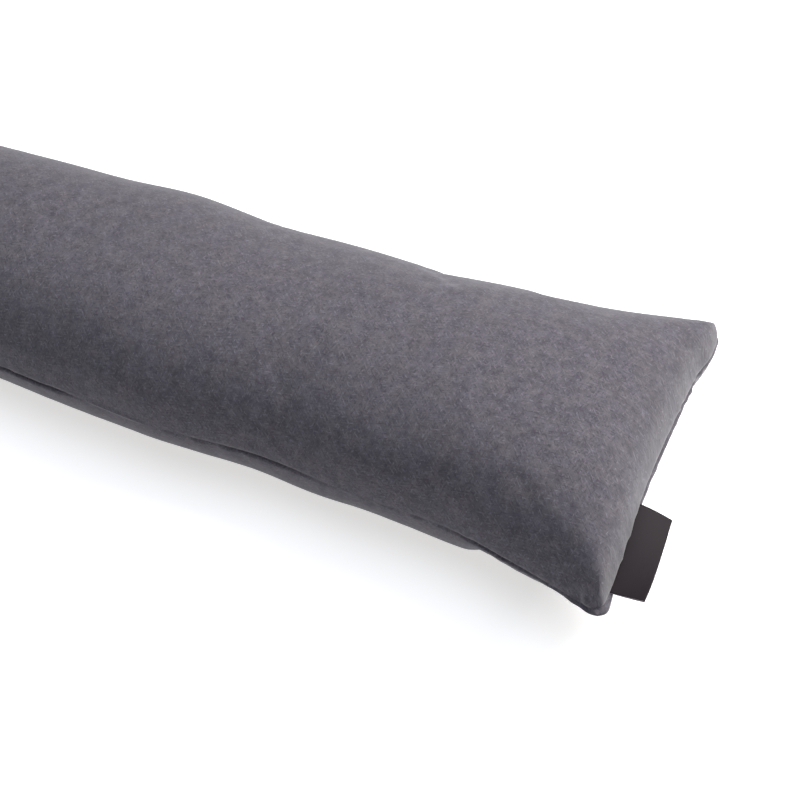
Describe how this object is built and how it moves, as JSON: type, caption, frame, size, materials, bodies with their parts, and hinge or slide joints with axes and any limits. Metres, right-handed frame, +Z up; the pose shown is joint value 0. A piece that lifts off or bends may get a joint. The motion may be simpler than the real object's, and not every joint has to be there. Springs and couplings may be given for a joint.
{
  "type": "draught excluder",
  "caption": "Long filled felt cushion that lies along the foot of a door to keep out draughts, with a folded ribbon label in one end seam.",
  "frame": {"origin": "centre of the underside of the whole object, on the surface that it lies on", "axes": "+X along the length towards the end with the label, +Y across the cushion, +Z up"},
  "size_m": [0.9138, 0.1778, 0.0875],
  "materials": {
    "felt": "matt melange wool-look felt",
    "ribbon": "dark satin weave"
  },
  "bodies": {
    "root": {"cushion": "felt", "label": "ribbon"}
  },
  "joints": []
}
